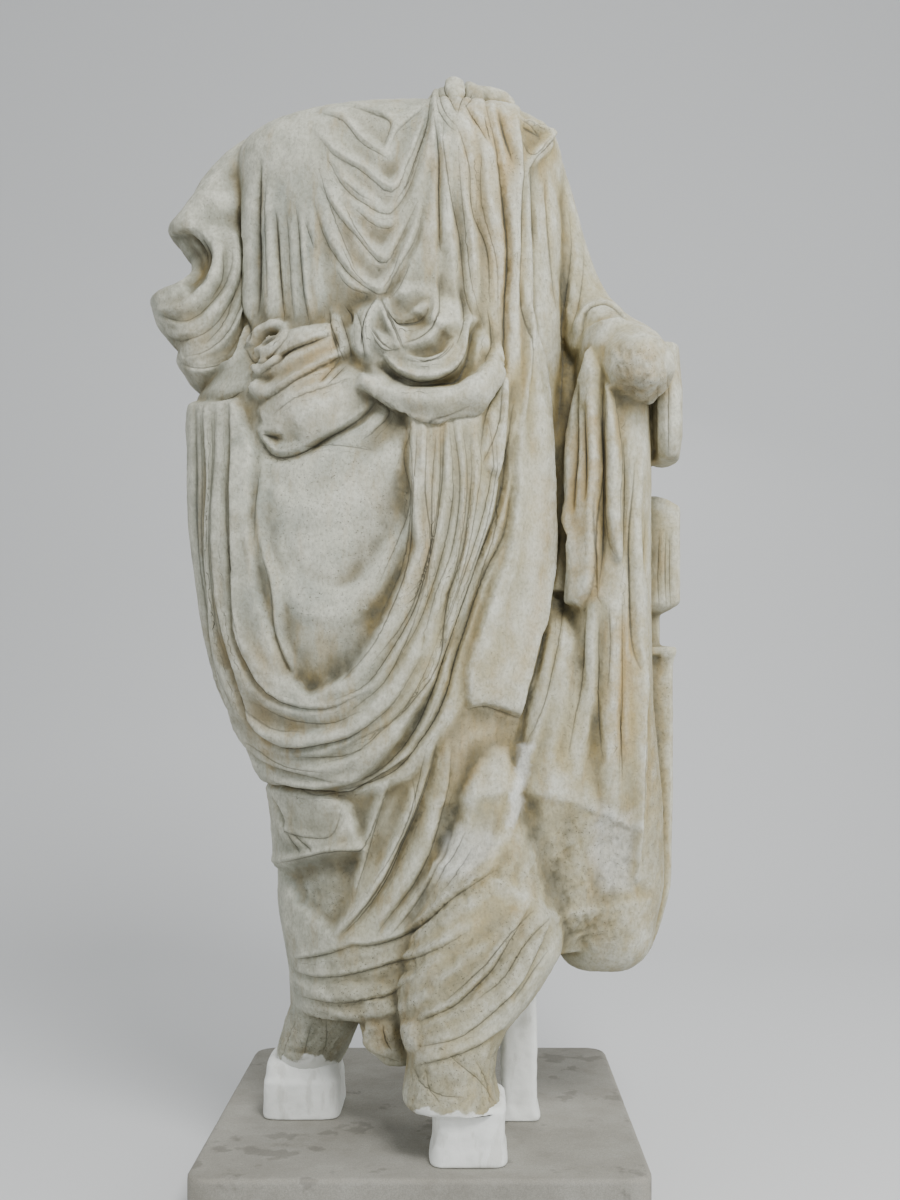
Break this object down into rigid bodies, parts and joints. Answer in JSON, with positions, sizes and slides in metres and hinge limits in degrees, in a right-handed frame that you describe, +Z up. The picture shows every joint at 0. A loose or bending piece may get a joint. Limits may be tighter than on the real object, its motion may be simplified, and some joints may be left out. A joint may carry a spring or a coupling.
{
  "type": "headless togate marble statue on a stone slab",
  "caption": "Life-size headless and armless Roman togate figure in weathered marble, standing on plaster foot fills and a plaster prop on a grey stone slab.",
  "frame": {"origin": "centre of the stone slab's underside", "axes": "+Z up along the standing figure, +Y from the figure's front to its back, +X to the right of someone who faces the figure"},
  "size_m": [0.8675, 0.68, 1.7844],
  "materials": {
    "weathered_marble": "matt, worn and stained",
    "plaster": "matt",
    "slab_stone": "matt, sawn"
  },
  "bodies": {
    "root": {"marble_figure": "weathered_marble", "right_foot_plaster": "plaster", "left_foot_plaster": "plaster", "rear_plaster_prop": "plaster", "stone_slab": "slab_stone"}
  },
  "joints": []
}
